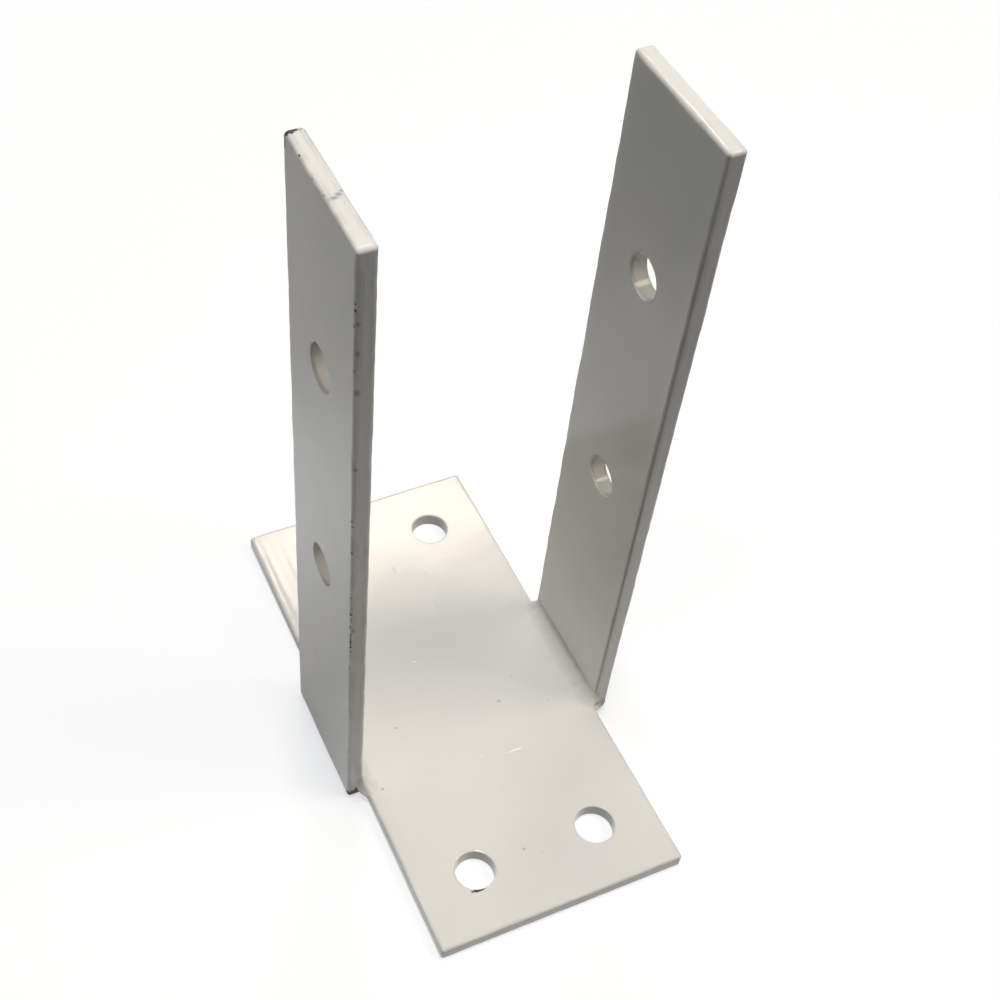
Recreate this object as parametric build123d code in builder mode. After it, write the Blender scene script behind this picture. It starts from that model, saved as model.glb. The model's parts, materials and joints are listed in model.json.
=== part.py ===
"""Bolt-down base for a square timber post, welded from flat steel bar.

A rectangular base plate lies on the concrete. Two upright straps stand along its long sides,
one each side of the post, and a fillet weld joins each strap to the plate along its inside.
Four holes take the anchor bolts and two holes in each strap take the bolts through the post.

Frame: millimetres, origin at the centre of the plate's underside, +Z up, X across the gap
that holds the post, Y along the plate. The front edge of the plate is the one at -Y.
"""

import os

from build123d import *

# Room for the post
post_gap = 96.0

# Base plate
root_gap = 0.5
plate_width = post_gap - 2 * root_gap
plate_length = 195.0
plate_thickness = 6.0
plate_corner_radius = 2.0
plate_arris = 1.2
anchor_hole_diameter = 14.5
anchor_hole_margin = 23.5

# Upright straps
strap_width = 50.0
strap_thickness = 6.0
strap_top = 265.0
strap_lift = 1.0
strap_shift = -2.5
strap_arris = 1.5
strap_end_arris = 0.8
post_hole_diameter = 14.5
post_hole_height = 113.0
post_hole_pitch = 90.0

# Broken edge at the rims of the holes
rim_bevel = 0.4

# Fillet welds
weld_leg = 5.0
weld_hollow = 0.34
weld_root = 4.0
return_length = 5.0
return_leg = 1.4
return_root = 1.2

# Places worked out from the sizes
inner_face = post_gap / 2
strap_front = strap_shift - strap_width / 2
strap_length = strap_top - strap_lift
anchor_spacing_x = plate_width - 2 * anchor_hole_margin
anchor_spacing_y = plate_length - 2 * anchor_hole_margin


def hole_rims(part, axis, radius):
    """The circular edges of the drilled holes that run along one axis."""
    rims = part.edges().filter_by(GeomType.CIRCLE)
    return rims.filter_by(lambda edge: abs(edge.radius - radius) < 1e-6).filter_by(
        lambda edge: abs(edge.normal().dot(axis.direction)) > 0.999
    )


def weld_section(leg, root):
    """Section of a fillet weld, out from the strap and up from the plate.

    The face is a shallow hollow between its two toes, and the root slopes back to the strap.
    """
    with BuildSketch() as section:
        with BuildLine():
            ThreePointArc((0, leg), (weld_hollow * leg, weld_hollow * leg), (leg, 0))
            Line((leg, 0), (0, -root))
            Line((0, -root), (0, leg))
        make_face()
    return section.sketch


# Base plate: rolled flat, four anchor holes on a rectangle, every outer arris softened
with BuildPart() as base_plate:
    with BuildSketch():
        RectangleRounded(plate_width, plate_length, plate_corner_radius)
    extrude(amount=plate_thickness)
    outline = base_plate.faces().sort_by(Axis.Z)
    fillet(outline[-1].edges() + outline[0].edges(), radius=plate_arris)
    with Locations((0, 0, plate_thickness)):
        with GridLocations(anchor_spacing_x, anchor_spacing_y, 2, 2):
            Hole(radius=anchor_hole_diameter / 2)
    chamfer(hole_rims(base_plate, Axis.Z, anchor_hole_diameter / 2), length=rim_bevel)

# Right strap: flat bar with rolled edges, cut square top and bottom, two post bolt holes
with BuildPart() as right_strap:
    with BuildSketch(Plane.XY.offset(strap_lift)):
        with Locations((inner_face + strap_thickness / 2, strap_shift)):
            RectangleRounded(strap_thickness, strap_width, strap_arris)
    extrude(amount=strap_length)
    ends = right_strap.faces().sort_by(Axis.Z)
    fillet(ends[-1].edges() + ends[0].edges(), radius=strap_end_arris)
    with BuildSketch(Plane.YZ.offset(inner_face)):
        with Locations((strap_shift, post_hole_height + post_hole_pitch / 2)):
            with GridLocations(0, post_hole_pitch, 1, 2):
                Circle(post_hole_diameter / 2)
    extrude(amount=strap_thickness, mode=Mode.SUBTRACT)
    chamfer(hole_rims(right_strap, Axis.X, post_hole_diameter / 2), length=rim_bevel)

# Left strap: the same bar on the other side of the post
with BuildPart() as left_strap:
    mirror(right_strap.part, about=Plane.YZ)

# Planes of the weld section: across the run, at the turn round the strap's rolled edge, and
# at the two ends of the return along the strap's cut side
run_middle = Plane(
    origin=(inner_face, strap_shift, plate_thickness),
    x_dir=(-1, 0, 0),
    z_dir=(0, 1, 0),
)
run_end = run_middle.offset(strap_arris - strap_width / 2)
turn_axis = Axis((inner_face + strap_arris, strap_front + strap_arris, 0), (0, 0, 1))
return_start = Plane(
    origin=(inner_face + strap_arris, strap_front, plate_thickness),
    x_dir=(0, -1, 0),
    z_dir=(-1, 0, 0),
)
return_end = return_start.offset(strap_arris - return_length)

# Right weld: half a run, a turn round the strap's edge and a tapering return, then the same
# again for the rear half; the plate and the strap take their own shape out of the bead
with BuildPart() as right_weld:
    with BuildSketch(run_end):
        add(weld_section(weld_leg, weld_root))
    extrude(amount=strap_width / 2 - strap_arris)
    with BuildSketch(run_end):
        add(weld_section(weld_leg, weld_root))
    revolve(axis=turn_axis, revolution_arc=90)
    with BuildSketch(return_start):
        add(weld_section(weld_leg, weld_root))
    with BuildSketch(return_end):
        add(weld_section(return_leg, return_root))
    loft()
    mirror(about=Plane.XZ.offset(-strap_shift))
    add(base_plate.part, mode=Mode.SUBTRACT)
    add(right_strap.part, mode=Mode.SUBTRACT)

# Left weld: the same bead on the other strap
with BuildPart() as left_weld:
    mirror(right_weld.part, about=Plane.YZ)

pieces = {
    "base_plate": base_plate,
    "left_strap": left_strap,
    "right_strap": right_strap,
    "left_weld": left_weld,
    "right_weld": right_weld,
}

os.makedirs("parts", exist_ok=True)
for name, piece in pieces.items():
    piece.part.label = name
    export_step(piece.part, f"parts/{name}.step")
    print(name, round(piece.part.volume), "mm3")
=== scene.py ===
# %% [markdown]
# # A bolt-down timber post base in white powder coat
#
# The object is a welded steel foot for a timber post. A flat plate bolts to the concrete, two straps of
# flat bar stand along its long sides, and a weld bead joins each strap to the plate on the inside.
# The measured solids come in as a fixed frame. This file rebuilds their skins as fine surfaces with the
# softened edges and the uneven beads of the real thing, coats them, and lights them in a pale studio.

import json
import math

import bpy
import numpy as np
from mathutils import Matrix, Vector


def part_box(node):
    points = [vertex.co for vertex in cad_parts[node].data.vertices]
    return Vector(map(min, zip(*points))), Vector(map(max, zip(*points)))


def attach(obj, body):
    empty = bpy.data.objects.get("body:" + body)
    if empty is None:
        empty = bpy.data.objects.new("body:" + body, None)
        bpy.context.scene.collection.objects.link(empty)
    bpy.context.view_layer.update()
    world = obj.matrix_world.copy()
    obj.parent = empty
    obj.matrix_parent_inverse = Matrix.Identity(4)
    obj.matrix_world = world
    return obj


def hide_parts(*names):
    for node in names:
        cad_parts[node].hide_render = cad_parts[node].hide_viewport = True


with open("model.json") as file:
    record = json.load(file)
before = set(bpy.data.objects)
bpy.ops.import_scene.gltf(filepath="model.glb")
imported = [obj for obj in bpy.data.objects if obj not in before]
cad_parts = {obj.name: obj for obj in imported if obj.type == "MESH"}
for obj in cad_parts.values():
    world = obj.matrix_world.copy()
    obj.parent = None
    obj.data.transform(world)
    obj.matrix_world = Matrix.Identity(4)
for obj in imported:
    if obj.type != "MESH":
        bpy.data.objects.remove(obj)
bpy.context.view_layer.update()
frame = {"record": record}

# %% [markdown]
# ## Sizes
#
# Every size that the solids already fix is read from the frame: the boxes of the nodes, and the stated
# bolt patterns for the holes. Only what the solids leave plain gets a value of its own here, such as how
# far the coating rounds an edge.

# %% Sizes read from the frame
MM = 0.001
mounts = {mount["name"]: mount for mount in frame["record"]["mounts"]}
anchor = mounts["anchor_bolts"]["dims"]
post_bolts = mounts["right_post_bolts"]
plate_low, plate_high = (np.array(corner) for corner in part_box("base_plate"))
strap_low, strap_high = (np.array(corner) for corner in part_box("right_strap"))

plate_half = (plate_high - plate_low) / 2
plate_top = plate_high[2]
strap_half = (strap_high - strap_low) / 2
strap_middle = (strap_high + strap_low) / 2
anchor_radius = anchor["hole_r_mm"] * MM
anchor_x = anchor["spacing_x_mm"] * MM / 2
anchor_y = anchor["spacing_y_mm"] * MM / 2
post_radius = post_bolts["dims"]["hole_r_mm"] * MM
post_hole_z = post_bolts["pos_m"][2] + post_bolts["dims"]["spacing_y_mm"] * MM / 2 * np.array([-1, 1])
print("plate half sizes, mm:", plate_half / MM, " strap half sizes, mm:", strap_half / MM)
print("post holes at, mm:", post_hole_z / MM)

# %% [markdown]
# ## A quiet kind of noise
#
# Nothing hand-made is perfectly even. A few plane waves with seeded directions and phases, added up, give
# a smooth unevenness that is the same at every run. It varies edge radii and bead sizes below.

# %% Smooth unevenness
WAVES = 16
STRETCH = (0.7, 1.5)


def unevenness(points, wavelength, seed):
    """Sum of sine waves in seeded directions, each as long as the wavelength times a random stretch. The
    sum is divided by half the number of waves, which brings it to about -1 to 1."""
    rng = np.random.default_rng(seed)
    aim = rng.normal(size=(WAVES, 3))
    aim /= np.linalg.norm(aim, axis=1)[:, None]
    pitch = 2 * math.pi / (wavelength * rng.uniform(*STRETCH, WAVES))
    phase = rng.uniform(0, 2 * math.pi, WAVES)
    return np.sin(points @ (aim * pitch[:, None]).T + phase).sum(axis=1) / (WAVES / 2)


print("unevenness at the origin:", round(float(unevenness(np.zeros((1, 3)), 0.01, 1)[0]), 3))

# %% [markdown]
# ## From arrays to a piece
#
# Each skin ends as two arrays, the points and the four-sided faces. They go into the mesh in one call each.
# Extra numbers per point, such as how near an arris lies, become attributes that the coating reads.

# %% Mesh from arrays
def make_piece(name, points, quads, marks):
    """Object at the origin from an (n, 3) array of points, an (m, 4) array of quads, and marks, which are
    named arrays with one value per point."""
    used, packed = np.unique(quads, return_inverse=True)
    packed = packed.reshape(quads.shape).astype(np.int32)
    mesh = bpy.data.meshes.new(name)
    mesh.vertices.add(len(used))
    mesh.vertices.foreach_set("co", points[used].astype(np.float32).ravel())
    mesh.loops.add(packed.size)
    mesh.loops.foreach_set("vertex_index", packed.ravel())
    mesh.polygons.add(len(packed))
    mesh.polygons.foreach_set("loop_start", np.arange(0, packed.size, 4, dtype=np.int32))
    mesh.polygons.foreach_set("use_smooth", np.ones(len(packed), bool))
    for mark, values in marks.items():
        layer = mesh.attributes.new(mark, "FLOAT", "POINT")
        layer.data.foreach_set("value", values[used].astype(np.float32))
    mesh.update(calc_edges=True)
    mesh.validate()
    piece = bpy.data.objects.new(name, mesh)
    bpy.context.scene.collection.objects.link(piece)
    print(name, len(used), "points", len(packed), "quads")
    return piece


# %% [markdown]
# ## The skin of a drilled slab
#
# The plate and the straps are the same kind of thing: a flat slab with rounded edges and round holes. A
# bevel modifier could round them, but a computed skin lets the edge radius wander a little along its
# length, as rolled and coated bar does, and knows everywhere how near the arris is.
#
# The slab is worked out flat, in u and v, with w as its thickness. Grid lines crowd together over each
# rounded edge. A block of cells round each hole is replaced by rings that run from the square border of
# the block to the circle of the hole.

# %% Grid lines over rounded edges
ARC_STEPS = 6
SUPPORT = 0.25 * MM


def arc_inset(radius):
    """Distances in from an edge that cut its quarter round into equal turns: radius times 1 - cosine."""
    turn = np.linspace(0, math.pi / 2, ARC_STEPS + 1)
    return np.append(radius * (1 - np.cos(turn)), radius + SUPPORT)


def arc_drop(inset, radius):
    """Fall of a quarter round below the flat: radius - square root of (radius^2 - (radius - inset)^2)."""
    short = np.clip(1 - inset / radius, 0, 1)
    return radius * (1 - np.sqrt(1 - short**2))


def grid_lines(half, radius, breaks, counts):
    """Lines from -half to half: crowded over both edges, and evenly cut between the breaks inside."""
    edge = arc_inset(radius) - half
    stops = [edge[-1], *breaks, -edge[-1]]
    inner = [np.linspace(a, b, n, endpoint=False) for a, b, n in zip(stops, stops[1:], counts)]
    return np.concatenate([edge[:-1], *inner, [-edge[-1]], -edge[-2::-1]])


print("inset lines of a 1.2 mm arris, mm:", np.round(arc_inset(1.2 * MM) / MM, 2))


# %% Round corners in plan
def round_plan(u, v, half_u, half_v, radius):
    """Turns square corners into quarter discs. The distance to the nearer side is kept, and the place
    between the two sides becomes an angle."""
    x = np.abs(u) - half_u + radius
    y = np.abs(v) - half_v + radius
    corner = (x > 0) & (y > 0)
    reach = np.where(corner, np.maximum(x, y), 1)
    angle = np.where(x >= y, y / reach, 2 - x / reach) * math.pi / 4
    new_u = np.sign(u) * (half_u - radius + reach * np.cos(angle))
    new_v = np.sign(v) * (half_v - radius + reach * np.sin(angle))
    return np.where(corner, new_u, u), np.where(corner, new_v, v)


# %% Rings round a hole
RING_CROWDING = 1.25


def hole_rings(border, centre, radius, rim, rows):
    """Rows of points from the hole out to the border of its block, and each row's inset from the hole.
    The first rows are circles over the rounded rim, and the rest slide towards the border, a little
    crowded near the hole."""
    away = border - centre
    reach = np.linalg.norm(away, axis=1)
    circles = radius + arc_inset(rim)
    share = np.linspace(0, 1, rows + 1)[1:-1, None] ** RING_CROWDING
    slide = circles[-1] + share * (reach - circles[-1])
    distance = np.vstack([np.repeat(circles[:, None], len(border), axis=1), slide])
    return centre + (away / reach[:, None]) * distance[..., None], distance - radius


def quads_between(low, high):
    """Faces that join two closed loops of the same number of points, wound so that high is on the left."""
    return np.stack([low, np.roll(low, -1), np.roll(high, -1), high], axis=-1).reshape(-1, 4)


# %% Plan of the slab
def slab_plan(half, arris, corner, breaks, counts, blocks, holes, radius, rim):
    """Points of one skin in u and v, their insets from the outline and from the holes, the faces, and the
    border loops: the outline first and then each hole. half is the slab's half size, breaks and counts lay
    out the grid, and each block is the column and row of the stretch that a hole takes."""
    lines_u = grid_lines(half[0], arris, breaks[0], counts[0])
    lines_v = grid_lines(half[1], arris, breaks[1], counts[1])
    square_u, square_v = np.meshgrid(lines_u, lines_v, indexing="ij")
    inset = np.minimum(half[0] - np.abs(square_u), half[1] - np.abs(square_v))
    plan_u, plan_v = round_plan(square_u, square_v, half[0], half[1], corner)
    ids = np.arange(plan_u.size).reshape(plan_u.shape)
    keep = np.ones((len(lines_u) - 1, len(lines_v) - 1), bool)
    plan = [np.stack([plan_u.ravel(), plan_v.ravel()], axis=-1)]
    insets = [inset.ravel()]
    rims = [np.full(inset.size, half[1])]
    faces = []
    mouths = []
    total = ids.size
    first = len(arc_inset(arris)) - 1
    edges_u = first + np.concatenate([[0], np.cumsum(counts[0])])
    edges_v = first + np.concatenate([[0], np.cumsum(counts[1])])
    for (column, row), centre in zip(blocks, holes):
        a, b = edges_u[column], edges_u[column + 1]
        c, d = edges_v[row], edges_v[row + 1]
        keep[a:b, c:d] = False
        border = np.concatenate([ids[a:b, c], ids[b, c:d], ids[b:a:-1, d], ids[a, d:c:-1]])
        points, from_hole = hole_rings(plan[0][border], centre, radius, rim, (b - a) // 2)
        loops = total + np.arange(points[..., 0].size).reshape(points.shape[:2])
        total += loops.size
        loops = np.vstack([loops, border])
        plan.append(points.reshape(-1, 2))
        insets.append(np.full(from_hole.size, half[1]))
        rims.append(from_hole.ravel())
        mouths.append(loops[0])
        faces.append(np.concatenate([quads_between(o, i) for i, o in zip(loops, loops[1:])]))
    squares = np.stack([ids[:-1, :-1], ids[1:, :-1], ids[1:, 1:], ids[:-1, 1:]], axis=-1)
    faces = np.concatenate([squares[keep], *faces])
    outline = np.concatenate([ids[:-1, 0], ids[-1, :-1], ids[:0:-1, -1], ids[0, :0:-1]])
    return np.concatenate(plan), np.concatenate(insets), np.concatenate(rims), faces, [outline, *mouths]


# %% [markdown]
# The upper skin, the lower skin, the side wall and the bore walls share their border points, so the result
# is closed without any merging. The arris radius that shapes an edge is the nominal one times a slow
# unevenness, and the points stay on the nominal outline, so the slab keeps its measured size.

# %% The slab itself
WALL_ROWS = 5
NEAR_ARRIS = 0.9 * MM
SLOW_WANDER, SLOW_LENGTH = 0.26, 18 * MM
QUICK_WANDER, QUICK_LENGTH = 0.14, 5 * MM
WIDEST_ARRIS = 1.25


def wall_between(points, upper_loop, lower_loop):
    """New points and the faces of a wall from an upper loop to a lower one, and the depth of each new point
    below or above the nearer loop."""
    upper = points[upper_loop]
    lower = points[lower_loop]
    share = np.linspace(0, 1, WALL_ROWS + 2)[1:-1, None]
    rows = upper * (1 - share[..., None]) + lower * share[..., None]
    depth = np.minimum(share, 1 - share) * (upper - lower)[:, 2]
    fresh = len(points) + np.arange(depth.size).reshape(depth.shape)
    stack = np.vstack([upper_loop, fresh, lower_loop])
    wall = np.concatenate([quads_between(low, high) for low, high in zip(stack[1:], stack)])
    return rows.reshape(-1, 3), wall, depth.ravel()


def closeness_to_arris(distance):
    """1 on the arris, falling off as e to the minus square of the distance over NEAR_ARRIS."""
    return np.exp(-((distance / NEAR_ARRIS) ** 2))


def drilled_slab(half, arris, rim, seed, **layout):
    """Closed skin of a slab, in u, v, w round its own middle. half is its half size, arris and rim are the
    radii of its outer edges and of its holes' edges, and the layout is what slab_plan asks for besides."""
    plan, insets, rims, faces, loops = slab_plan(half, arris, rim=rim, **layout)
    skins = []
    for side in (1, -1):
        flat = np.column_stack([plan, np.full(len(plan), side * half[2])])
        wander = 1 + SLOW_WANDER * unevenness(flat, SLOW_LENGTH, seed)
        wander += QUICK_WANDER * unevenness(flat, QUICK_LENGTH, seed + 1)
        drop = arc_drop(insets, np.minimum(arris * wander, arris * WIDEST_ARRIS))
        drop = np.maximum(drop, arc_drop(rims, rim * wander))
        skins.append(flat - side * drop[:, None] * [0, 0, 1])
    points = np.concatenate(skins)
    near = np.minimum(np.abs(insets - arris / 2), np.abs(rims - rim / 2))
    closeness = [np.tile(closeness_to_arris(near), 2)]
    quads = [faces, faces[:, ::-1] + len(plan)]
    for number, loop in enumerate(loops):
        rows, wall, depth = wall_between(points, loop, loop + len(plan))
        quads.append(wall[:, ::-1] if number else wall)
        points = np.concatenate([points, rows])
        closeness.append(closeness_to_arris(depth))
    return points, np.concatenate(quads), {"arris": np.concatenate(closeness)}


# %% [markdown]
# ## The base plate
#
# Sawn or sheared from 6 mm plate, drilled four times, its arrises taken off before coating. The plate is
# laid out in its own u, v, w and those are simply X, Y and Z, so only its middle is added.

# %% Base plate
PLATE_ARRIS = 1.2 * MM
PLATE_CORNER = 1.25 * MM
STRAP_ARRIS = 1.3 * MM
HOLE_RIM = 0.55 * MM
CELL = 1.3 * MM
BLOCK = 46 * MM


def cells(*lengths):
    """Number of grid cells that suits each length."""
    return [max(1, round(length / CELL)) for length in lengths]


def base_plate_piece():
    """Plate skin with a block of rings round each anchor hole."""
    across = plate_half[0] - PLATE_ARRIS
    split = plate_half[1] - BLOCK
    count = cells(across)[0]
    points, quads, marks = drilled_slab(
        plate_half,
        PLATE_ARRIS,
        HOLE_RIM,
        seed=3,
        corner=PLATE_CORNER,
        breaks=[[0], [-split, split]],
        counts=[[count, count], [count, *cells(2 * split), count]],
        blocks=[(0, 0), (1, 0), (0, 2), (1, 2)],
        holes=[(x, y) for y in (-anchor_y, anchor_y) for x in (-anchor_x, anchor_x)],
        radius=anchor_radius,
    )
    middle = (plate_low + plate_high) / 2
    piece = make_piece("coated_base_plate", points + middle, quads, marks)
    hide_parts("base_plate")
    return piece


base_plate = base_plate_piece()

# %% [markdown]
# ## The two straps
#
# Flat bar of 50 by 6 mm, cut to length, drilled twice and coated. For a strap, u runs along Y, v up Z and
# w along X, which keeps the same handedness, so the faces still point outwards after the columns are put
# in that order.

# %% Straps
def strap_piece(side, name, seed):
    """Strap skin on the side -1 or 1 of the post's gap."""
    levels = post_hole_z - strap_middle[2]
    reach = strap_half[1] - STRAP_ARRIS - SUPPORT
    stops = [levels[0] - reach, levels[0] + reach, levels[1] - reach, levels[1] + reach]
    top = strap_half[2] - STRAP_ARRIS
    count = cells(2 * reach)[0]
    plain = cells(stops[0] + top, stops[2] - stops[1], top - stops[3])
    points, quads, marks = drilled_slab(
        strap_half[[1, 2, 0]],
        STRAP_ARRIS,
        HOLE_RIM,
        seed,
        corner=STRAP_ARRIS,
        breaks=[[], stops],
        counts=[[count], [plain[0], count, plain[1], count, plain[2]]],
        blocks=[(0, 1), (0, 3)],
        holes=[(0, level) for level in levels],
        radius=post_radius,
    )
    middle = strap_middle * [side, 1, 1]
    piece = make_piece(name, points[:, [2, 0, 1]] + middle, quads, marks)
    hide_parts("right_strap" if side > 0 else "left_strap")
    return piece


right_strap = strap_piece(1, "coated_right_strap", seed=11)
left_strap = strap_piece(-1, "coated_left_strap", seed=23)

# %% [markdown]
# ## The weld beads
#
# Each bead runs along the inside foot of its strap, turns round both of the bar's edges and dies away
# along its sides. Its face is a little hollow, and because it was laid by hand, its size swells and
# shrinks as it goes. A profile carried along a path gives that: the path is the strap's own outline in
# plan, and the profile's two legs are functions of the distance along it. The profile goes on a little way
# inside the strap and the plate, so that no gap shows at the toes.

# %% Path of a bead round the strap's foot
STEP = 0.45 * MM
TURN_POINTS = 19


def bead_path(front_return, rear_return):
    """Plan points on the strap's outline from the front side round the inside to the rear side, the
    directions away from the strap, and the distances along. It is worked out for the right strap."""
    face = strap_low[0]
    front, rear = strap_low[1], strap_high[1]
    radius = STRAP_ARRIS
    turn = np.linspace(0, math.pi / 2, TURN_POINTS)
    away_front = np.stack([-np.sin(turn), -np.cos(turn)], axis=-1)
    away_rear = away_front[::-1] * [1, -1]
    side = np.arange(0, 1, STEP / front_return)[:, None]
    far_side = np.arange(0, 1, STEP / rear_return)[:0:-1, None]
    run = np.arange(STEP, rear - front - 2 * radius - STEP / 2, STEP)[:, None]
    points = np.vstack(
        [
            [face + radius + front_return, front] - side * [front_return, 0],
            [face + radius, front + radius] + radius * away_front,
            [face, front + radius] + run * [0, 1],
            [face + radius, rear - radius] + radius * away_rear,
            [face + radius + rear_return, rear] - far_side * [rear_return, 0],
        ]
    )
    away = np.vstack(
        [
            np.repeat([[0.0, -1.0]], len(side), axis=0),
            away_front,
            np.repeat([[-1.0, 0.0]], len(run), axis=0),
            away_rear,
            np.repeat([[0.0, 1.0]], len(far_side), axis=0),
        ]
    )
    steps = np.linalg.norm(np.diff(points, axis=0), axis=1)
    return points, away, np.concatenate([[0], np.cumsum(steps)])


# %% Section of a bead
EMBED = 0.15 * MM
BEAD_HOLLOW = 0.29
UNDER_REACH = 0.9
FACE_POINTS = 15
UNDER_POINTS = 9


def bezier(a, b, c, count):
    """Quadratic curve from a past b to c: (1-t)^2 a + 2 t (1-t) b + t^2 c, with the last point left out."""
    t = np.linspace(0, 1, count, endpoint=False)[None, :, None]
    return (1 - t) ** 2 * a[:, None] + 2 * t * (1 - t) * b[:, None] + t**2 * c[:, None]


def plate_surface(x):
    """Height of the plate's upper skin at a distance x from the middle, over its rounded long edge."""
    return plate_top - arc_drop(np.clip(plate_half[0] - np.abs(x), 0, None), PLATE_ARRIS)


def bead_section(points, away, climb, spread, hang):
    """Closed profile at each point of the path, as distances out from the strap and heights. A hollow curve
    runs down from the strap to the plate, and a second one, hidden in the plate, runs back to the strap."""
    toe_z = plate_surface(points[:, 0] + away[:, 0] * spread) - EMBED
    sunk = np.full_like(climb, -EMBED)
    top = np.stack([sunk, plate_top + climb], axis=-1)
    outer = np.stack([spread, toe_z], axis=-1)
    foot = np.stack([sunk, plate_top - hang], axis=-1)
    hollow = (top + outer) / 2 - BEAD_HOLLOW * np.stack([spread, climb], axis=-1)
    below = np.stack([spread * UNDER_REACH, np.minimum(foot[:, 1], toe_z)], axis=-1)
    curves = bezier(top, hollow, outer, FACE_POINTS), bezier(outer, below, foot, UNDER_POINTS)
    return np.concatenate(curves, axis=1)


# %% Bead skin
CLIMB_SWELL, CLIMB_LENGTH = 0.09, 9 * MM
SPREAD_SWELL, SPREAD_LENGTH = 0.1, 8 * MM
COARSE_RIPPLE, COARSE_LENGTH = 0.28, 4.6 * MM
FINE_RIPPLE, FINE_LENGTH = 0.16, 2.2 * MM
FULL_CLIMB = 4 * MM


def ladder_cap(row):
    """Faces across a closed loop with an even number of points: rungs join its first half to its second."""
    rung = np.arange(len(row) // 2 - 1)
    return np.stack([row[rung], row[rung + 1], row[-2 - rung], row[-1 - rung]], axis=-1)


def outward(skin, quads):
    """The quads, turned over if they face inwards, and the volume inside: a sixth of the sum, over the two
    triangles of each quad, of a corner times the cross product of the triangle's edges."""
    a, b, c, d = (skin[quads[:, k]] for k in range(4))
    volume = np.einsum("ij,ij->", a, np.cross(b - a, c - a) + np.cross(c - a, d - a)) / 6
    return quads if volume > 0 else quads[:, ::-1], abs(volume)


def bead_piece(side, name, returns, stations, climb, spread, hang, seed):
    """Bead skin on the side -1 or 1. returns are the lengths round the front and the rear side. climb (the
    leg up the strap), spread (the leg along the plate) and hang (the fill below the plate's top) are given
    at the stations along the path, all in mm."""
    points, away, along = bead_path(*(length * MM for length in returns))
    climb, spread, hang = (np.interp(along / MM, stations, v) * MM for v in (climb, spread, hang))
    place = np.column_stack([points * [side, 1], along])
    climb = climb * (1 + CLIMB_SWELL * unevenness(place, CLIMB_LENGTH, seed))
    spread = spread * (1 + SPREAD_SWELL * unevenness(place, SPREAD_LENGTH, seed + 1))
    section = bead_section(points, away, climb, spread, hang)
    ripple = COARSE_RIPPLE * unevenness(place, COARSE_LENGTH, seed + 2)
    ripple += FINE_RIPPLE * unevenness(place, FINE_LENGTH, seed + 3)
    swell = np.sin(np.linspace(0, math.pi, FACE_POINTS)) * np.clip(climb / FULL_CLIMB, 0, 1)[:, None]
    section[:, :FACE_POINTS] += (ripple[:, None] * MM * swell)[..., None]

    plan = points[:, None] + away[:, None] * section[..., :1]
    skin = np.concatenate([plan, section[..., 1:]], axis=-1).reshape(-1, 3) * [side, 1, 1]
    loops = np.arange(len(skin)).reshape(len(points), -1)
    tube = [quads_between(low, high) for low, high in zip(loops, loops[1:])]
    quads = np.concatenate([*tube, ladder_cap(loops[0])[:, ::-1], ladder_cap(loops[-1])])
    quads, volume = outward(skin, quads)
    print(name, "path, mm:", round(along[-1] / MM, 1), " volume, mm3:", round(volume / MM**3))
    piece = make_piece(name, skin, quads, {"arris": np.zeros(len(skin))})
    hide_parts("right_weld" if side > 0 else "left_weld")
    return piece


# %% The two beads
right_bead = bead_piece(
    1,
    "coated_right_weld",
    returns=(3.7, 1.7),
    stations=(0, 1.4, 2.6, 3.7, 4.7, 5.7, 9, 15, 24, 35, 46, 52.6, 53.6, 54.6, 55.6, 56.8),
    climb=(0.5, 1.5, 2.2, 3.6, 6.4, 6.2, 5.2, 5.6, 5.0, 5.8, 5.2, 5.4, 4.7, 3.5, 2.4, 0.9),
    spread=(0.9, 1.9, 2.4, 2.9, 3.8, 4.8, 5.6, 5.0, 5.8, 5.1, 5.6, 4.9, 4.0, 2.9, 2.0, 0.8),
    hang=(2.2, 3.0, 3.6, 4.0, 4.2, 4.2, 4.0, 4.0, 4.0, 4.0, 4.0, 3.8, 3.6, 3.2, 2.8, 2.0),
    seed=41,
)
left_bead = bead_piece(
    -1,
    "coated_left_weld",
    returns=(0.9, 2.4),
    stations=(0, 0.6, 1.0, 1.4, 1.7, 2.0, 2.4, 2.9, 5, 12, 22, 33, 44, 50.2, 51.2, 52.3, 53.4, 54.7),
    climb=(0.8, 1.4, 2.4, 3.8, 4.8, 5.4, 5.8, 5.7, 5.2, 5.6, 5.0, 5.7, 5.2, 5.5, 4.8, 3.5, 2.2, 0.9),
    spread=(0.5, 0.9, 2.4, 6.0, 7.0, 6.6, 6.0, 5.5, 5.0, 5.5, 4.9, 5.5, 5.1, 5.2, 4.1, 2.9, 2.0, 0.9),
    hang=(2.6, 3.4, 4.0, 4.2, 4.2, 4.0, 4.0, 4.0, 4.0, 4.0, 4.0, 4.0, 4.0, 3.8, 3.5, 3.0, 2.6, 1.8),
    seed=67,
)

# %% Everything rides on the one body
pieces = [base_plate, left_strap, right_strap, left_bead, right_bead]
for piece in pieces:
    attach(piece, "root")
print("pieces:", [piece.name for piece in pieces])

# %% [markdown]
# ## What the coating needs
#
# Powder coat is a plastic skin baked onto the steel. Close up it has a faint orange peel, it is a little
# thin and grey over sharp arrises, it picks up dust, and where something struck it, it has come off in
# small dark flecks. Each of these is a node group, so that every piece can have its own amount of it.

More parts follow.
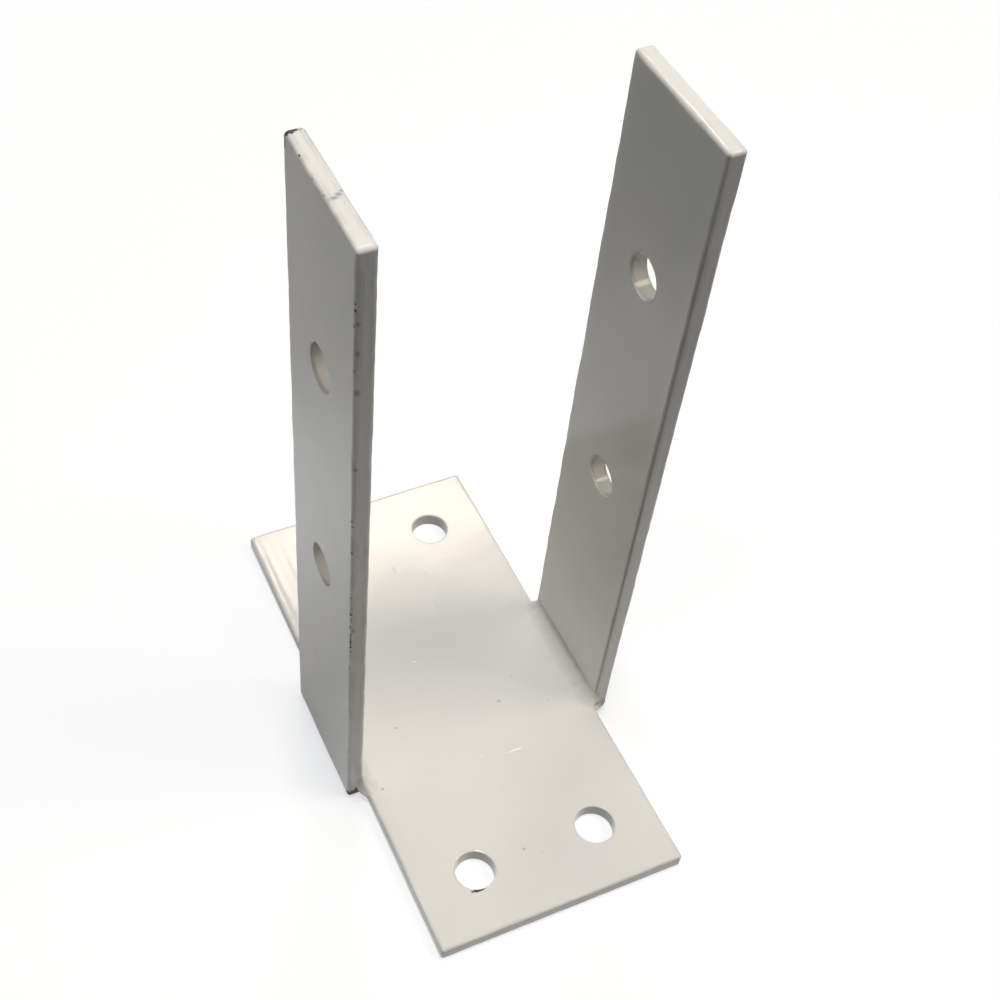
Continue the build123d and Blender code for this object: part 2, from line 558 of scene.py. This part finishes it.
# %% Node helpers
def new_group(name, inputs, outputs):
    """Empty shader node group with named float, vector or colour sockets, and its input and output nodes."""
    group = bpy.data.node_groups.new(name, "ShaderNodeTree")
    for direction, sockets in (("INPUT", inputs), ("OUTPUT", outputs)):
        for socket, kind in sockets.items():
            group.interface.new_socket(socket, in_out=direction, socket_type=f"NodeSocket{kind}")
    return group, group.nodes.new("NodeGroupInput"), group.nodes.new("NodeGroupOutput")


def add_node(tree, kind, settings=None, **sockets):
    """Node of a kind with its settings made and its input sockets set to values or linked to outputs."""
    node = tree.nodes.new(kind)
    for key, value in (settings or {}).items():
        setattr(node, key, value)
    for key, value in sockets.items():
        socket = node.inputs[int(key[1:]) if key[0] == "i" and key[1:].isdigit() else key.replace("_", " ")]
        if isinstance(value, bpy.types.NodeSocket):
            tree.links.new(value, socket)
        else:
            socket.default_value = value
    return node


def math_node(tree, operation, a, b=0.0, c=0.0):
    """Output of a Math node."""
    return add_node(tree, "ShaderNodeMath", {"operation": operation}, i0=a, i1=b, i2=c).outputs[0]


def vector_node(tree, operation, a, b):
    """Vector Math node."""
    return add_node(tree, "ShaderNodeVectorMath", {"operation": operation}, i0=a, i1=b)


def noise(tree, vector, scale, detail, roughness):
    """Output of a Noise Texture, 0 to 1."""
    sockets = {"Vector": vector, "Scale": scale, "Detail": detail, "Roughness": roughness}
    return add_node(tree, "ShaderNodeTexNoise", None, **sockets).outputs["Fac"]


def ramp(tree, value, low, high, to_low=0.0, to_high=1.0):
    """Output of a smooth Map Range from low..high to to_low..to_high."""
    settings = {"interpolation_type": "SMOOTHSTEP"}
    sockets = {"i0": value, "i1": low, "i2": high, "i3": to_low, "i4": to_high}
    return add_node(tree, "ShaderNodeMapRange", settings, **sockets).outputs[0]


# %% Orange peel
FINE_PEEL_SHARE = 0.12


def orange_peel_group():
    """Height of a coating's skin in metres: soft cells of about 4 mm, finer ones, and a slow sag."""
    group, given, made = new_group(
        "Orange peel", {"Vector": "Vector", "Peel": "Float", "Sag": "Float"}, {"Height": "Float"}
    )
    place = given.outputs["Vector"]
    soft = noise(group, place, scale=270, detail=1.0, roughness=0.4)
    fine = noise(group, place, scale=900, detail=1.0, roughness=0.5)
    slow = noise(group, place, scale=42, detail=1.0, roughness=0.4)
    peel = math_node(group, "MULTIPLY_ADD", fine, FINE_PEEL_SHARE, soft)
    peel = math_node(group, "MULTIPLY", peel, given.outputs["Peel"])
    height = math_node(group, "MULTIPLY_ADD", slow, given.outputs["Sag"], peel)
    group.links.new(height, made.inputs["Height"])
    return group


orange_peel = orange_peel_group()


# %% Worn arris
THIN_PATCHES = (0.4, 0.62)
THIN_CLOSENESS = (0.35, 0.95)
FLECK_ZONES = (0.5, 0.66)
FLECK_PULL = 0.3
FLECK_EDGE = (0.8, 0.84)


def worn_arris_group():
    """Two masks along the arrises: where the coating is thin, and where flecks of it have come off."""
    group, given, made = new_group(
        "Worn arris",
        {"Vector": "Vector", "Arris": "Float", "Fleck": "Float"},
        {"Thin": "Float", "Bare": "Float"},
    )
    place = given.outputs["Vector"]
    arris = given.outputs["Arris"]
    patch = ramp(group, noise(group, place, scale=55, detail=3.0, roughness=0.6), *THIN_PATCHES)
    thin = math_node(group, "MULTIPLY", ramp(group, arris, *THIN_CLOSENESS), patch)
    fleck = noise(group, place, scale=620, detail=3.0, roughness=0.65)
    zone = ramp(group, noise(group, place, scale=26, detail=2.0, roughness=0.5), *FLECK_ZONES)
    reach = math_node(group, "MULTIPLY", math_node(group, "MULTIPLY", zone, arris), given.outputs["Fleck"])
    bare_and_shade = ramp(group, math_node(group, "MULTIPLY_ADD", reach, FLECK_PULL, fleck), *FLECK_EDGE)
    group.links.new(thin, made.inputs["Thin"])
    group.links.new(bare_and_shade, made.inputs["Bare"])
    return group


worn_arris = worn_arris_group()


# %% Spot at a place
RAGGED_DEPTH = 1.3
RAGGED_EDGE = (1.72, 1.5)


def spot_group():
    """Masks of one spot. Ragged is 1 inside an ellipsoid round its centre, whose border a noise pushes
    about, and Smooth falls evenly from 1 at the centre to 0 at the ellipsoid."""
    group, given, made = new_group(
        "Spot",
        {"Vector": "Vector", "Centre": "Vector", "Size": "Vector"},
        {"Ragged": "Float", "Smooth": "Float"},
    )
    place = given.outputs["Vector"]
    offset = vector_node(group, "SUBTRACT", place, given.outputs["Centre"]).outputs[0]
    share = vector_node(group, "DIVIDE", offset, given.outputs["Size"]).outputs[0]
    length = vector_node(group, "DISTANCE", share, (0, 0, 0)).outputs["Value"]
    ragged = noise(group, place, scale=900, detail=2.0, roughness=0.6)
    reach = math_node(group, "MULTIPLY_ADD", ragged, RAGGED_DEPTH, length)
    group.links.new(ramp(group, reach, *RAGGED_EDGE), made.inputs["Ragged"])
    group.links.new(ramp(group, length, 1.0, 0.0), made.inputs["Smooth"])
    return group


spot_masks = spot_group()


# %% Dust and handling
SPECK_ZONES = (0.56, 0.62)
SPECK_EDGE = (0.055, 0.03)


def handling_group():
    """Slow blotches of tone (0.5 in the middle), and a mask of sparse dust specks stuck in the coat."""
    group, given, made = new_group("Handling", {"Vector": "Vector"}, {"Blotch": "Float", "Speck": "Float"})
    place = given.outputs["Vector"]
    blotch = noise(group, place, scale=24, detail=3.0, roughness=0.55)
    grain = add_node(group, "ShaderNodeTexVoronoi", {"feature": "F1"}, Vector=place, Scale=95.0)
    few = ramp(group, noise(group, place, scale=40, detail=1.0, roughness=0.5), *SPECK_ZONES)
    dot = ramp(group, grain.outputs["Distance"], *SPECK_EDGE)
    group.links.new(blotch, made.inputs["Blotch"])
    group.links.new(math_node(group, "MULTIPLY", few, dot), made.inputs["Speck"])
    return group


handling = handling_group()
print("node groups:", [group.name for group in bpy.data.node_groups])

# %% [markdown]
# ## The chips in the photographed piece
#
# The chips sit at known places, so each is a centre and three half sizes in millimetres, in the frame of
# the part. Most of them are along the front outer arris of the left strap, which takes the knocks. The same
# dark is painted as shade at the foot of the right strap's front end and along the foot of the left strap's
# outer face, and laid as a dark patch at the foot of the left strap's front end.

# %% Chips, centre and half size in mm
outer = strap_high[0] / MM
inner = strap_low[0] / MM
front = strap_low[1] / MM
middle = strap_middle[1] / MM
rear = strap_high[1] / MM
top = strap_high[2] / MM
left_strap_chips_and_shade = [
    ((-outer + 1.4, rear - 0.6, top), (2.9, 1.7, 1.3)),
    ((-outer, rear - 0.8, top - 2.4), (0.9, 1.3, 2.6)),
    ((-outer, 11.4, top), (0.6, 1.0, 0.6)),
    ((-outer, 9.0, top), (0.6, 0.8, 0.5)),
    ((-outer, 2.1, top), (0.5, 1.2, 0.6)),
    ((-outer, -5.3, top), (0.6, 0.9, 0.6)),
    ((-outer, front, 241.3), (0.4, 0.5, 0.9)),
    ((-outer, front, 230.2), (0.4, 0.5, 1.0)),
    ((-outer, front, 216.3), (0.5, 0.5, 1.0)),
    ((-outer, front, 186.0), (0.4, 0.5, 0.8)),
    ((-outer, front, 113.6), (0.5, 0.6, 2.6)),
    ((-outer, front, 106.4), (0.5, 0.6, 3.2)),
    ((-outer, front, 97.6), (0.5, 0.6, 3.6)),
    ((-outer, front, 66.8), (0.4, 0.5, 1.1)),
    # A dark patch at the foot of the front end, and painted shade as a dark line along the foot of the outer
    # face.
    ((-outer + 3.4, front, 1.6), (4.6, 2.0, 4.2)),
    ((-outer, middle, 1.0), (0.8, 27.0, 1.1)),
]
# Painted shade: dark at the foot of the right strap's front end, where strap, bead and plate meet.
right_strap_foot_shade = [
    ((outer - 2.6, front, 1.9), (2.4, 0.9, 0.9)),
    ((outer - 1.2, front, 3.4), (1.3, 0.8, 1.6)),
]
plate_chips = [
    ((-25.9, -anchor_y / MM - anchor_radius / MM + 0.1, plate_top / MM), (2.7, 0.8, 0.7)),
]
print("chips:", len(left_strap_chips_and_shade), len(right_strap_foot_shade), len(plate_chips))

# %% [markdown]
# Fainter marks lie in the coat and not under it: a blue-grey rub on the left strap's end, specks of dust
# baked into the plate's coat, and small runs and spatter that stand up and catch the light. Shade is painted
# in dark grey along the crease where each bead meets its strap, at the front end of the right bead and down
# the right strap's inner front arris.

# %% Rubs and runs, centre and half size in mm
level = plate_top / MM
left_strap_rubs = [
    ((-outer + 0.6, front, 241.2), (1.2, 1.2, 1.6)),
    ((-outer + 0.6, front, 230.9), (1.2, 1.2, 1.5)),
    ((-outer + 0.7, front, 216.6), (1.5, 1.3, 1.9)),
    ((-outer + 0.6, front, 186.0), (1.2, 1.2, 1.4)),
    ((-outer + 0.5, front, 108.3), (1.1, 1.2, 2.6)),
    ((-inner - 2.2, -6.3, top), (1.7, 1.3, 1.4)),
    ((-inner - 3.6, -7.2, top), (2.2, 1.1, 1.4)),
    ((-inner - 0.7, -5.2, top), (1.4, 0.9, 1.4)),
]
plate_rubs = [
    ((-4.3, -73.1, level + 0.3), (1.0, 0.9, 0.8)),
    ((-41.9, -31.7, level + 0.3), (0.9, 0.9, 0.8)),
    ((-27.2, -9.6, level + 0.3), (0.9, 0.9, 0.8)),
    ((14.4, -13.4, level + 0.4), (1.5, 1.0, 0.9)),
]
# Painted shade in dark grey: the creases where the beads meet the straps, the right strap's inner front
# arris and the right bead's front end.
right_crease_shade = ((inner + 1.2, middle, level + 4.5), (3.0, 42.0, 3.7))
left_crease_shade = ((-inner - 1.2, middle, level + 4.5), (3.0, 42.0, 3.7))
right_strap_painted_shades = [right_crease_shade, ((inner + 0.4, front + 0.4, 133.0), (0.85, 0.85, 300.0))]
right_bead_painted_shades = [
    right_crease_shade,
    ((49.3, -29.0, 6.4), (2.8, 1.6, 1.4)),
    ((51.4, -28.6, 5.0), (4.0, 3.0, 3.8)),
]
plate_runs = [
    ((-43.2, 66.0, level + 0.33), (2.4, 52.0, 1.0)),
    ((-35.5, 70.0, level + 0.33), (2.6, 46.0, 1.0)),
    ((10.8, -35.7, level), (5.4, 0.9, 1.0)),
    ((-2.0, -33.4, level), (1.4, 0.7, 1.0)),
    ((-10.1, 21.3, level), (1.1, 1.0, 1.0)),
    ((-8.7, 14.7, level), (1.0, 0.9, 1.0)),
    ((-5.9, 18.9, level), (0.8, 0.8, 1.0)),
    ((11.3, 37.4, level), (1.1, 8.5, 1.0)),
    ((13.6, 53.4, level), (0.9, 3.4, 1.0)),
    ((2.0, 60.0, level), (0.8, 2.6, 1.0)),
]
print("rubs:", len(left_strap_rubs), len(plate_rubs), " runs:", len(plate_runs))

# %% [markdown]
# ## The coat
#
# One function makes the coat for one piece. The colour is a warm off-white, and each kind of wear, and each
# kind of painted shade, is laid over it by its own mask. A chip shows dark scaled steel, and the shade
# painted at the straps' feet uses the same dark. A Bump node turns the peel, the runs and the depth of the
# chips and of the painted dark spots into shading. The roughness varies a little with the blotches.

# %% Coat material
COAT_WHITE = (0.795, 0.795, 0.765, 1.0)
COAT_GREYER = (0.765, 0.768, 0.748, 1.0)
THIN_GREY = (0.47, 0.47, 0.46, 1.0)
PAINTED_SHADE_GREY = (0.3, 0.295, 0.275, 1.0)
BARE_STEEL_AND_SHADE = (0.022, 0.019, 0.016, 1.0)
DUST = (0.42, 0.4, 0.36, 1.0)
RUB_GREY = (0.3, 0.32, 0.37, 1.0)
BLOTCH_SHADE = (0.35, 0.7)
SPECK_SHARE, PAINTED_SHADE_SHARE, RUB_SHARE = 0.35, 0.9, 0.95
BLOTCH_RANGE = (0.25, 0.75)
COAT_ROUGHNESS = (0.1, 0.15)
BARE_ROUGHER = 0.3
CHIP_DEPTH = 0.12 * MM
RUN_HEIGHT = 0.075 * MM
COAT_IOR = 1.45


def mix_colour(tree, share, low, high):
    """Colour from low to high by share."""
    mixed = add_node(tree, "ShaderNodeMix", {"data_type": "RGBA"}, i0=share, i6=low, i7=high)
    return mixed.outputs[2]


def group_node(tree, group, **sockets):
    """Outputs of a node that holds one of the groups."""
    return add_node(tree, "ShaderNodeGroup", {"node_tree": group}, **sockets).outputs


def spots_mask(tree, place, spots, kind):
    """Largest Ragged or Smooth mask of the spots, given as centres and half sizes in mm, or 0.0 for none."""
    mask = 0.0
    for centre, size in spots:
        sizes = {"Centre": np.array(centre) * MM, "Size": np.array(size) * MM}
        mask = math_node(tree, "MAXIMUM", mask, group_node(tree, spot_masks, Vector=place, **sizes)[kind])
    return mask


def powder_coat(name, peel, sag, fleck=0.0, thin=0.0, chips_and_shade=(), rubs=(), painted_shades=(), runs=()):
    """Coated-steel material. peel and sag are heights in mm, and fleck and thin are 0 to 1. The spot lists
    give bare chips and dark painted shade at the straps' feet, blue-grey rubs, dark grey painted shade, and
    raised runs."""
    material = bpy.data.materials.new(name)
    material.use_nodes = True
    tree = material.node_tree
    tree.nodes.clear()
    place = add_node(tree, "ShaderNodeTexCoord").outputs["Object"]
    arris = add_node(tree, "ShaderNodeAttribute", {"attribute_name": "arris"}).outputs["Fac"]
    skin = group_node(tree, orange_peel, Vector=place, Peel=peel * MM, Sag=sag * MM)
    worn = group_node(tree, worn_arris, Vector=place, Arris=arris, Fleck=fleck)
    marks = group_node(tree, handling, Vector=place)
    bare_and_shade = math_node(tree, "MAXIMUM", worn["Bare"], spots_mask(tree, place, chips_and_shade, "Ragged"))
    painted_shade_mask = spots_mask(tree, place, painted_shades, "Smooth")
    rubbed = spots_mask(tree, place, rubs, "Smooth")
    raised = spots_mask(tree, place, runs, "Smooth")

    colour = mix_colour(tree, ramp(tree, marks["Blotch"], *BLOTCH_SHADE), COAT_WHITE, COAT_GREYER)
    colour = mix_colour(tree, math_node(tree, "MULTIPLY", worn["Thin"], thin), colour, THIN_GREY)
    colour = mix_colour(tree, math_node(tree, "MULTIPLY", marks["Speck"], SPECK_SHARE), colour, DUST)
    # Painted shade in dark grey, from the painted-shade spots.
    colour = mix_colour(tree, math_node(tree, "MULTIPLY", painted_shade_mask, PAINTED_SHADE_SHARE), colour, PAINTED_SHADE_GREY)
    colour = mix_colour(tree, math_node(tree, "MULTIPLY", rubbed, RUB_SHARE), colour, RUB_GREY)
    # Dark of bare steel, for chips and flecks and for the shade painted at the straps' feet.
    colour = mix_colour(tree, bare_and_shade, colour, BARE_STEEL_AND_SHADE)
    roughness = ramp(tree, marks["Blotch"], *BLOTCH_RANGE, *COAT_ROUGHNESS)
    roughness = math_node(tree, "MULTIPLY_ADD", bare_and_shade, BARE_ROUGHER, roughness)
    height = math_node(tree, "MULTIPLY_ADD", bare_and_shade, -CHIP_DEPTH, skin["Height"])
    height = math_node(tree, "MULTIPLY_ADD", raised, RUN_HEIGHT, height)
    bump = add_node(tree, "ShaderNodeBump", None, Strength=1.0, Distance=1.0, Height=height)
    shader = add_node(tree, "ShaderNodeBsdfPrincipled", None, IOR=COAT_IOR)
    tree.links.new(colour, shader.inputs["Base Color"])
    tree.links.new(roughness, shader.inputs["Roughness"])
    tree.links.new(bump.outputs["Normal"], shader.inputs["Normal"])
    add_node(tree, "ShaderNodeOutputMaterial", None, Surface=shader.outputs["BSDF"])
    return material


# %% The coat on each piece
ON_BAR = {"peel": 0.028, "sag": 0.09}
ON_BEAD = {"peel": 0.03, "sag": 0.1}
plate_marks = {"chips_and_shade": plate_chips, "rubs": plate_rubs, "runs": plate_runs}
left_marks = {"chips_and_shade": left_strap_chips_and_shade, "rubs": left_strap_rubs, "painted_shades": [left_crease_shade]}
right_marks = {"chips_and_shade": right_strap_foot_shade, "painted_shades": right_strap_painted_shades}
coats = {
    base_plate: powder_coat("coat_on_plate", **ON_BAR, fleck=0.15, thin=0.3, **plate_marks),
    left_strap: powder_coat("coat_on_left_strap", **ON_BAR, fleck=0.8, thin=0.7, **left_marks),
    right_strap: powder_coat("coat_on_right_strap", **ON_BAR, fleck=0.3, thin=0.5, **right_marks),
    left_bead: powder_coat("coat_on_left_weld", **ON_BEAD, painted_shades=[left_crease_shade]),
    right_bead: powder_coat("coat_on_right_weld", **ON_BEAD, painted_shades=right_bead_painted_shades),
}
for piece, material in coats.items():
    piece.data.materials.append(material)
print("coats:", [material.name for material in coats.values()])

# %% [markdown]
# ## Floor
#
# The piece lies on a plain pale floor. The camera sees it nearly white, with the soft shadow of the piece.
# The coat mirrors it less bright beside the foot of the left strap, where a shadow of the piece is painted
# into its glow, and again further off. Light that bounces off it comes from a light grey sheet under the
# piece and a dull bench round that, which is why the straps get darker towards their tops. From below the
# floor isn't there, so that the underside can be looked at.

# %% Floor plane
FLOOR_SIZE = 6.0
floor_mesh = bpy.data.meshes.new("floor")
corners = np.array([[-1, -1, 0], [1, -1, 0], [1, 1, 0], [-1, 1, 0]]) * FLOOR_SIZE / 2
floor_mesh.from_pydata(corners.tolist(), [], [[0, 1, 2, 3]])
floor = bpy.data.objects.new("floor", floor_mesh)
bpy.context.scene.collection.objects.link(floor)
print("floor, m:", FLOOR_SIZE)

# %% Floor material
SHEET_MIDDLE = (0.02, -0.12, 0.0)
SHEET_REACH = (0.22, 0.46)
SHEET_COLOUR = 0.27
BENCH_COLOUR = 0.03
SHADE_MIDDLE = (-0.05, 0.03, 0.0)
SHADE_REACH = (0.0, 0.09)
SHADE_GLOW = (0.25, 0.7)
FAR_REACH = (0.16, 0.24)
FAR_DROP = 0.33
OPEN_REACH = (0.6, 2.4)
GLOW_COLOUR = (0.95, 0.97, 1.0, 1.0)


def seen_by_eye(tree):
    """1 for rays of the camera, of reflections and of clear glass, and 0 for light on its way."""
    path = add_node(tree, "ShaderNodeLightPath")
    eye = math_node(tree, "MAXIMUM", path.outputs["Is Camera Ray"], path.outputs["Is Glossy Ray"])
    return math_node(tree, "MAXIMUM", eye, path.outputs["Is Transmission Ray"])


def mix_shader(tree, share, low, high):
    """Mix Shader from one shader node to another by share."""
    return add_node(tree, "ShaderNodeMixShader", None, i0=share, i1=low.outputs[0], i2=high.outputs[0])


def floor_material(pale, glow):
    """Floor paint. The eye sees the colour pale with glow added to it, and light meets sheet and bench."""
    material = bpy.data.materials.new("pale_floor")
    material.use_nodes = True
    tree = material.node_tree
    tree.nodes.clear()
    place = add_node(tree, "ShaderNodeTexCoord").outputs["Object"]
    from_sheet = vector_node(tree, "DISTANCE", place, SHEET_MIDDLE).outputs["Value"]
    from_shade = vector_node(tree, "DISTANCE", place, SHADE_MIDDLE).outputs["Value"]
    from_middle = vector_node(tree, "DISTANCE", place, (0, 0, 0)).outputs["Value"]

    sheet = ramp(tree, from_sheet, *SHEET_REACH, SHEET_COLOUR, BENCH_COLOUR)
    dull = add_node(tree, "ShaderNodeBsdfDiffuse", None, Color=sheet)
    # Painted shadow: the glow that the coat mirrors is dimmer round the left strap's foot.
    shaded_glow = ramp(tree, from_shade, *SHADE_REACH, *SHADE_GLOW)
    far_drop = ramp(tree, from_middle, *FAR_REACH, 0.0, FAR_DROP)
    mirrored_glow = math_node(tree, "SUBTRACT", shaded_glow, far_drop)
    open_glow = ramp(tree, from_middle, *OPEN_REACH, glow, 1.0)
    mirrored = add_node(tree, "ShaderNodeLightPath").outputs["Is Glossy Ray"]
    glows = {"i0": mirrored, "i2": open_glow, "i3": mirrored_glow}
    strength = add_node(tree, "ShaderNodeMix", {"data_type": "FLOAT"}, **glows).outputs[0]
    paint = add_node(tree, "ShaderNodeBsdfDiffuse", None, Color=(pale, pale, pale, 1))
    light = add_node(tree, "ShaderNodeEmission", None, Color=GLOW_COLOUR, Strength=strength)
    white = add_node(tree, "ShaderNodeAddShader", None, i0=paint.outputs[0], i1=light.outputs[0])

    upper = mix_shader(tree, seen_by_eye(tree), dull, white)
    clear = add_node(tree, "ShaderNodeBsdfTransparent")
    below = add_node(tree, "ShaderNodeNewGeometry").outputs["Backfacing"]
    both = mix_shader(tree, below, upper, clear)
    add_node(tree, "ShaderNodeOutputMaterial", None, Surface=both.outputs[0])
    return material


floor_mesh.materials.append(floor_material(pale=0.45, glow=0.64))
print("floor material:", floor_mesh.materials[0].name)

# %% [markdown]
# ## Light
#
# In the photograph a lamp overhead lights the plate and the tops, and leaves the upright faces in shade.
# Two windows high up, a strong one at the front right and a weak one at the front left, light the upright
# faces and the floors of the holes, and their soft shadows of the straps meet between them. A bright strip
# behind is mirrored in the far end of the plate. A small lamp low at the left keeps the left strap's outer
# face from going dark. Each lamp is given by its radiance, the brightness that a mirror would show, so its
# power is radiance times pi times its area.

# %% Lamps: place, size and radiance in red, green and blue
MIDDLE = (0.0, 0.0, 0.1)
LAMPS = {
    "overhead": ((0.0, 0.05, 2.6), (0.24, 0.5), (89, 86, 82.5)),
    "right_window": ((1.3, -0.6, 2.2), (0.9, 0.9), (6.8, 5.9, 4.9)),
    "left_window": ((-0.9, -0.4, 2.4), (0.9, 0.9), (2.6, 2.3, 1.8)),
    "left_fill": ((-2.2, 0.0, 0.14), (0.34, 0.56), (5.4, 5.1, 4.6)),
    "strip": ((0.775, 1.86, 2.4), (0.75, 0.34), (11.6, 10.4, 8.7)),
}
FLAT_LAMPS = ("overhead", "strip")


def area_lamp(name, place, size, radiance):
    """Rectangular lamp that faces down, or towards the middle of the piece."""
    power = math.pi * size[0] * size[1] * max(radiance)
    data = bpy.data.lights.new(name, "AREA")
    data.shape = "RECTANGLE"
    data.size, data.size_y = size
    data.energy = power
    data.color = [channel / max(radiance) for channel in radiance]
    lamp = bpy.data.objects.new(name, data)
    aim = Vector(MIDDLE) - Vector(place)
    lamp.rotation_euler = (0, 0, 0) if name in FLAT_LAMPS else aim.to_track_quat("-Z", "Y").to_euler()
    lamp.location = place
    bpy.context.scene.collection.objects.link(lamp)
    print(name, "power, W:", round(power, 1))


for name, (place, size, radiance) in LAMPS.items():
    area_lamp(name, place, size, radiance)


# %% World
def studio_world(colour, strength):
    """Even cool light all round, and a white background for the camera, mirrors and glass."""
    world = bpy.data.worlds.new("studio")
    bpy.context.scene.world = world
    world.use_nodes = True
    tree = world.node_tree
    tree.nodes.clear()
    even = add_node(tree, "ShaderNodeBackground", None, Color=colour, Strength=strength)
    white = add_node(tree, "ShaderNodeBackground", None, Color=(1, 1, 1, 1), Strength=1.0)
    both = mix_shader(tree, seen_by_eye(tree), even, white)
    add_node(tree, "ShaderNodeOutputWorld", None, Surface=both.outputs[0])


studio_world(colour=(0.62, 0.81, 1.0, 1.0), strength=0.08)
bpy.context.scene.view_settings.view_transform = "Standard"
print("world:", bpy.context.scene.world.name)

# %% [markdown]
# ## Camera
#
# The place and the angles come from fitting the part's straight edges and hole rims to the photograph: a
# near camera, half a metre above the front left of the part. The small shift is the photograph's crop.

# %% Camera
CAMERA_PLACE = (-0.1602, -0.2793, 0.5035)
CAMERA_TURN = (38.932, -1.599, -22.973)
FOCAL_PIXELS = 1518.2
CENTRE_PIXELS = (387.1, 519.0)
IMAGE_PIXELS = 1000
SENSOR = 36.0
NEAREST = 0.01

camera_data = bpy.data.cameras.new("camera")
camera_data.sensor_width = SENSOR
camera_data.lens = FOCAL_PIXELS / IMAGE_PIXELS * SENSOR
camera_data.shift_x = 0.5 - CENTRE_PIXELS[0] / IMAGE_PIXELS
camera_data.shift_y = CENTRE_PIXELS[1] / IMAGE_PIXELS - 0.5
camera_data.clip_start = NEAREST
camera = bpy.data.objects.new("camera", camera_data)
camera.location = CAMERA_PLACE
camera.rotation_euler = [math.radians(angle) for angle in CAMERA_TURN]
bpy.context.scene.collection.objects.link(camera)
bpy.context.scene.camera = camera
print("lens, mm:", round(camera_data.lens, 2))

# %% [markdown]
# ## Last update

# %% Update the view layer
bpy.context.view_layer.update()
